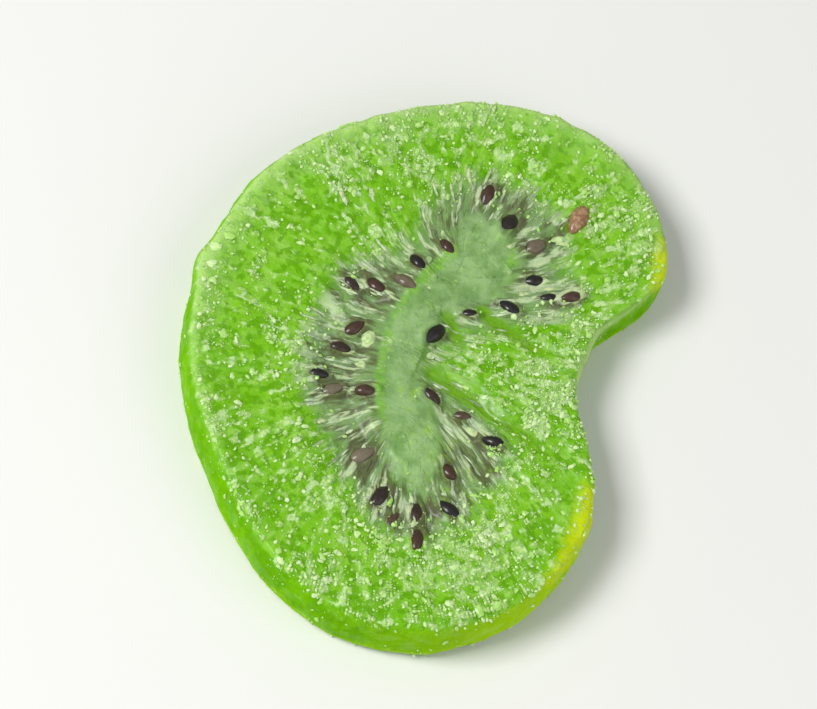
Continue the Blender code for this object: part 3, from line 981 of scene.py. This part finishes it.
pulp = {
    "bits": (  # x, y, towards, length, width
        (-3.3, -1.1, 80, 1.5, 1.1), (-3.0, -3.3, 20, 1.3, 0.6), (-3.8, 8.3, 148, 2.0, 0.4),
        (6.9, -4.9, -10, 2.2, 0.65), (9.2, -6.1, -25, 1.5, 0.4), (8.2, 9.4, 30, 2.2, 0.4),
        (6.6, 8.3, 40, 1.0, 0.4), (7.8, 13.9, 20, 1.6, 0.8), (4.2, 11.4, 57, 0.9, 0.4),
        (-1.5, 7.2, 60, 0.9, 0.5), (1.5, -0.1, 0, 1.0, 0.5), (-1.1, 10.0, 125, 0.9, 0.4),
        (4.6, -12.4, -67, 1.1, 0.4), (6.8, -10.9, -51, 0.9, 0.4), (2.2, -12.2, -78, 1.4, 0.5),
        (5.5, -14.5, 95, 1.2, 0.4), (-5.2, 6.2, 160, 1.3, 0.4), (-4.3, -9.2, 40, 1.2, 0.4),
        (-7.6, 10.7, 125, 1.3, 0.5), (-1.3, 16.3, 108, 2.6, 0.3), (-2.1, 14.4, 120, 2.2, 0.25),
        (0.3, 16.0, 96, 2.2, 0.25), (-3.4, 13.9, 128, 1.8, 0.25), (-9.7, 9.6, 140, 1.4, 0.4),
    ),
    "flatness": 0.5,
    "unevenness": 0.55,
    "smoothness": 4,
    "patchSize": 0.4,
    "patchStarts": (0.35, 0.65),
    "inside": (0.5, (0.8, 1.0, 0.4), 0.8),
    "bumpSize": 0.2,
    "bumpDepth": 0.06,
    "draw": 3,
}


def unevenBalls(name, shape, laid, draw, closeness=2.5, bend=0.35):  # laid: middle, turn and three sizes
    ball, ballFaces = makeBall(shape["smoothness"], 0.5)
    points = []
    for middle, turn, spans in laid:
        uneven = 1 + shape["unevenness"] * noiseAt(*(ball.T * closeness + draw.uniform(0, 50)))
        grown = ball * uneven[:, None] * spans
        grown[:, 1] += draw.uniform(-bend, bend) * grown[:, 0] ** 2
        points.append(grown @ np.array(turn).T + middle)
    faces = copiedFaces(ballFaces, len(points), len(ball))
    tones = np.repeat([draw.random() for _ in points], len(ball))
    return joinedMesh(name, liftClear(np.concatenate(points)), faces, tones)


def makePulp(material):
    draw = Random(pulp["draw"])
    laid = []
    for x, y, turn, length, width in pulp["bits"]:
        facing = Matrix.Rotation(math.radians(turn), 3, "Z")
        laid.append((fleshHit(x, y, 1), facing, (length, width, width * pulp["flatness"])))
    addPiece(unevenBalls("pulp", pulp, laid, draw), material)


def pulpFinish():
    f = Finish("pale pulp")
    patches = f.cloud(f.place, pulp["patchSize"], 3.0)
    colour = f.mix(f.ramp(patches, *pulp["patchStarts"]), paint("coreVein"), paint("pulp"))
    bumps = f.cloud(f.place, pulp["bumpSize"], 3.0)
    fixed = lightInside(*pulp["inside"])
    return f.surface(colour, 0.4 + 0.2 * patches, bumps, pulp["bumpDepth"], fixed)


makePulp(pulpFinish())


# sugar

sugarLumps = {
    "count": 900,
    "sizes": (0.1, 0.28),
    "fewLarge": 2,
    "lengths": (1.0, 1.5),  # and widths, in sizes
    "widths": (0.6, 1.0),
    "flatness": 0.55,
    "unevenness": 0.6,
    "smoothness": 2,
    "large": (  # x, y, size
        (9.6, -16.6, 0.6), (12.1, -14.0, 0.55), (12.7, -12.3, 0.5), (13.8, -18.2, 0.7),
        (12.6, -19.2, 0.8), (10.3, -19.7, 0.55), (11.9, -17.5, 0.45), (-7.8, 12.9, 0.5),
        (-16.6, 2.2, 0.7), (-17.2, 0.9, 0.8), (-17.0, -0.6, 0.7), (-16.4, -1.9, 0.5),
    ),
    "largeLength": 1.3,
    "draw": 31,
}

sugar = {
    "count": 6500,
    "sizes": (0.045, 0.18),
    "fewLarge": 2.5,  # the higher, the fewer large grains
    "squash": (0.5, 1.3),
    "chipped": (0.8, 1.2),
    "proud": 0.15,  # of the size
    "clumpSize": 2.2,
    "clumpRange": (-0.2, 0.5),
    "clumpLeast": 0.25,
    "coreStarts": (1.5, 6.0),  # gaps from the core between which the sugar starts
    "coreLeast": 0.03,
    "rimBand": (0.8, 0.8, 1.2),  # more, place inside the rim, breadth
    "crustMore": 0.2,
    "crustLeast": 0.05,
    "seatClear": (0.15, 0.35),  # heights
    "wallClear": 0.93,
    "lipClear": 0.8,
    "paleTones": (0.3, 0.95),
    "inside": (0.5, (0.8, 1.0, 0.5), 0.4),
    "bumpSize": 0.1,
    "bumpDepth": 0.02,
    "draw": 23,
}


def pointAreas(mesh):  # each point's share of the area round it
    areas = valuesOf(mesh.polygons, "area")
    totals = valuesOf(mesh.polygons, "loop_total", 1, int)
    corners = valuesOf(mesh.loops, "vertex_index", 1, int)
    share = np.zeros(len(mesh.vertices))
    np.add.at(share, corners, np.repeat(areas / totals, totals))
    return share


def sugarWeights(mesh, points):  # how much sugar each point of the flesh takes
    names = ("coreGap", "rimGap", "wall", "crease", "crust", "lip")
    marks = {name: valuesOf(mesh.attributes[name].data, "value") for name in names}
    x, y, z = points.T
    clumps = smoothStep(noiseAt(x, y, z, sugar["clumpSize"]), *sugar["clumpRange"])
    clumps += sugar["clumpLeast"]
    outer = smoothStep(marks["coreGap"], *sugar["coreStarts"])
    outer = sugar["coreLeast"] + (1 - sugar["coreLeast"]) * outer
    rimMore, rimPlace, rimBreadth = sugar["rimBand"]
    edge = 1 + rimMore * hump(marks["rimGap"] - rimPlace, rimBreadth)
    crusted = np.maximum(sugar["crustMore"] + marks["crust"], sugar["crustLeast"])
    crusted *= smoothStep(z, *sugar["seatClear"])
    clean = (1 - sugar["wallClear"] * marks["wall"]) * (1 - flesh["creaseClear"] * marks["crease"])
    clean *= 1 - sugar["lipClear"] * np.clip(marks["lip"], 0, 1)
    return pointAreas(mesh) * clumps * outer * edge * crusted * clean


def makeLumps(material):
    chooser, draw = np.random.default_rng(sugarLumps["draw"]), Random(sugarLumps["draw"])
    smallest, largest = sugarLumps["sizes"]
    flatness = sugarLumps["flatness"]
    laid = []
    for index in chooser.choice(len(points), sugarLumps["count"], replace=False, p=weights):
        size = 2 * (smallest + (largest - smallest) * draw.random() ** sugarLumps["fewLarge"])
        facing = Vector(normals[index]).to_track_quat("Z", "Y").to_matrix()
        turn = facing @ Matrix.Rotation(draw.uniform(0, math.pi), 3, "Z")
        length, width = draw.uniform(*sugarLumps["lengths"]), draw.uniform(*sugarLumps["widths"])
        laid.append((points[index], turn, (size * length, size * width, size * flatness)))
    for x, y, size in sugarLumps["large"]:
        turn = Matrix.Rotation(draw.uniform(0, math.pi), 3, "Z")
        spans = (size * sugarLumps["largeLength"], size, size * flatness)
        laid.append((fleshHit(x, y, 1), turn, spans))
    addPiece(unevenBalls("sugar_lumps", sugarLumps, laid, draw), material, flat=True)


def makeGrains(material):
    draw = np.random.default_rng(sugar["draw"])
    count = sugar["count"]
    chosen = draw.choice(len(points), count, replace=False, p=weights)
    grain, grainFaces = makeBall(1, 1)
    smallest, largest = sugar["sizes"]
    sizes = smallest + (largest - smallest) * draw.random(count) ** sugar["fewLarge"]
    squash = draw.uniform(*sugar["squash"], (count, 1, 3))
    squash = squash * draw.uniform(*sugar["chipped"], (count, len(grain), 1))
    turns = np.linalg.qr(draw.uniform(-1, 1, (count, 3, 3)))[0]
    turns *= np.sign(np.linalg.det(turns))[:, None, None]
    grains = (grain * squash * sizes[:, None, None]) @ turns
    grains += (points[chosen] + normals[chosen] * sizes[:, None] * sugar["proud"])[:, None, :]
    faces = copiedFaces(grainFaces, count, len(grain))
    tones = np.repeat(draw.random(count), len(grain))
    addPiece(joinedMesh("sugar", liftClear(grains.reshape(-1, 3)), faces, tones), material, flat=True)


def sugarFinish():
    f = Finish("sugar grains")
    tone = f.mark("tone")
    colour = f.mix(f.ramp(tone, *sugar["paleTones"]), paint("sugarDull"), paint("sugar"))
    bumps = f.cloud(f.place, sugar["bumpSize"])
    fixed = {**lightInside(*sugar["inside"]), "Coat Weight": 0.3, "Coat Roughness": 0.15}
    return f.surface(colour, 0.3 + 0.3 * tone, bumps, sugar["bumpDepth"], fixed)


points = valuesOf(fleshPiece.data.vertices, "co", 3) / mm
normals = valuesOf(fleshPiece.data.vertex_normals, "vector", 3)
weights = sugarWeights(fleshPiece.data, points)
weights /= weights.sum()
sugarCoat = sugarFinish()
makeLumps(sugarCoat)
makeGrains(sugarCoat)


# light, floor and camera

stage = {  # metres, watts and degrees
    "floorSide": 3.0,
    "floorFinish": (0.7, 10.0, 0.02),  # roughness, and the grain's size and depth in mm
    "lookDown": 63.0,
    "roll": 23.0,
    "lens": 200.0,
    "distance": 0.358,
    "keyPower": 1.95,
    "keyFrom": (-0.25, -0.15, 0.38),
    "keySize": 0.18,
    "fillPower": 0.5,
    "fillFrom": (0.32, -0.12, 0.3),
    "fillSize": 0.4,
    "sky": 0.35,
}


def addFloor():
    f = Finish("plain pale floor")
    rough, grainSize, grainDepth = stage["floorFinish"]
    material = f.surface(paint("floor"), rough, f.cloud(f.place, grainSize), grainDepth, {})
    shape = bmesh.new()
    bmesh.ops.create_grid(shape, x_segments=1, y_segments=1, size=stage["floorSide"] / 2)
    mesh = bpy.data.meshes.new("floor")
    shape.to_mesh(mesh)
    shape.free()
    mesh.materials.append(material)
    floor = bpy.data.objects.new("floor", mesh)
    bpy.context.scene.collection.objects.link(floor)


def addLight(name):
    lamp = bpy.data.lights.new(name, "AREA")
    lamp.energy = stage[name + "Power"]
    lamp.size = stage[name + "Size"]
    light = bpy.data.objects.new(name, lamp)
    light.location = stage[name + "From"]
    light.rotation_euler = (-light.location).to_track_quat("-Z", "Y").to_euler()
    bpy.context.scene.collection.objects.link(light)


def addSky():
    world = bpy.data.worlds.new("sky")
    world.use_nodes = True
    background = world.node_tree.nodes["Background"]
    background.inputs["Strength"].default_value = stage["sky"]
    background.inputs["Color"].default_value = (1, 1, 1, 1)
    bpy.context.scene.world = world


def addCamera():
    down = math.radians(stage["lookDown"])
    back = Vector((0, -math.cos(down), math.sin(down)))
    aim = Vector((0, 0, form["thickness"] / 2 * mm))
    camera = bpy.data.objects.new("camera", bpy.data.cameras.new("camera"))
    camera.data.lens = stage["lens"]
    camera.location = aim + back * stage["distance"]
    level = (-back).to_track_quat("-Z", "Y").to_matrix()
    roll = Matrix.Rotation(math.radians(stage["roll"]), 3, "Z")
    camera.rotation_euler = (level @ roll).to_euler()
    bpy.context.scene.collection.objects.link(camera)
    bpy.context.scene.camera = camera


addFloor()
addLight("key")
addLight("fill")
addSky()
addCamera()
bpy.context.scene.view_settings.view_transform = "Standard"
print("stage lit")
